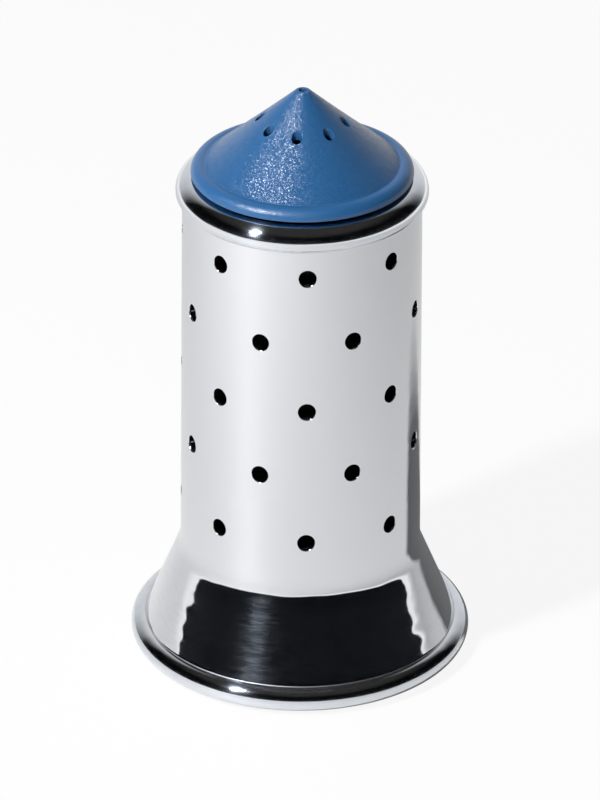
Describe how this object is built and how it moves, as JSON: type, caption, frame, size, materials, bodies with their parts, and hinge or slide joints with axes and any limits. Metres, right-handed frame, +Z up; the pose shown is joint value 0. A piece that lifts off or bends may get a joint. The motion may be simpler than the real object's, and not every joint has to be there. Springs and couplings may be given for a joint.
{
  "type": "salt shaker",
  "caption": "Table salt shaker: perforated polished steel tube with a rolled rim and flared foot round a black inner container, closed by a conical blue screw cap with pouring holes.",
  "frame": {"origin": "centre of the base, on the table", "axes": "+Z up along the axis of every turned piece; the pictured front faces -Y"},
  "size_m": [0.0448, 0.0448, 0.0802],
  "materials": {
    "polished_steel": "mirror-polished stainless steel sheet",
    "container_plastic": "glossy black moulded polypropylene",
    "base_plastic": "matte black moulded plastic",
    "blue_polyamide": "blue moulded polyamide with a fine spark-eroded texture",
    "seal_rubber": "black silicone O-ring"
  },
  "bodies": {
    "body": {"body_shell": "polished_steel", "salt_container": "container_plastic", "base_plate": "base_plastic"},
    "seal": {"cap_seal": "seal_rubber"},
    "cap": {"cap": "blue_polyamide"}
  },
  "joints": [
    {"name": "cap_lift", "type": "slide", "parent": "body", "child": "seal", "axis": [0, 0, 1], "range_m": [0, 0.006]},
    {"name": "cap_turn", "type": "hinge", "parent": "seal", "child": "cap", "pos_m": [0, 0, 0], "axis": [0, 0, 1], "range_deg": [0, 1080]}
  ],
  "couplings": [
    {"joint": "cap_lift", "follows": "cap_turn", "m_per_rad": 0.00031831}
  ]
}
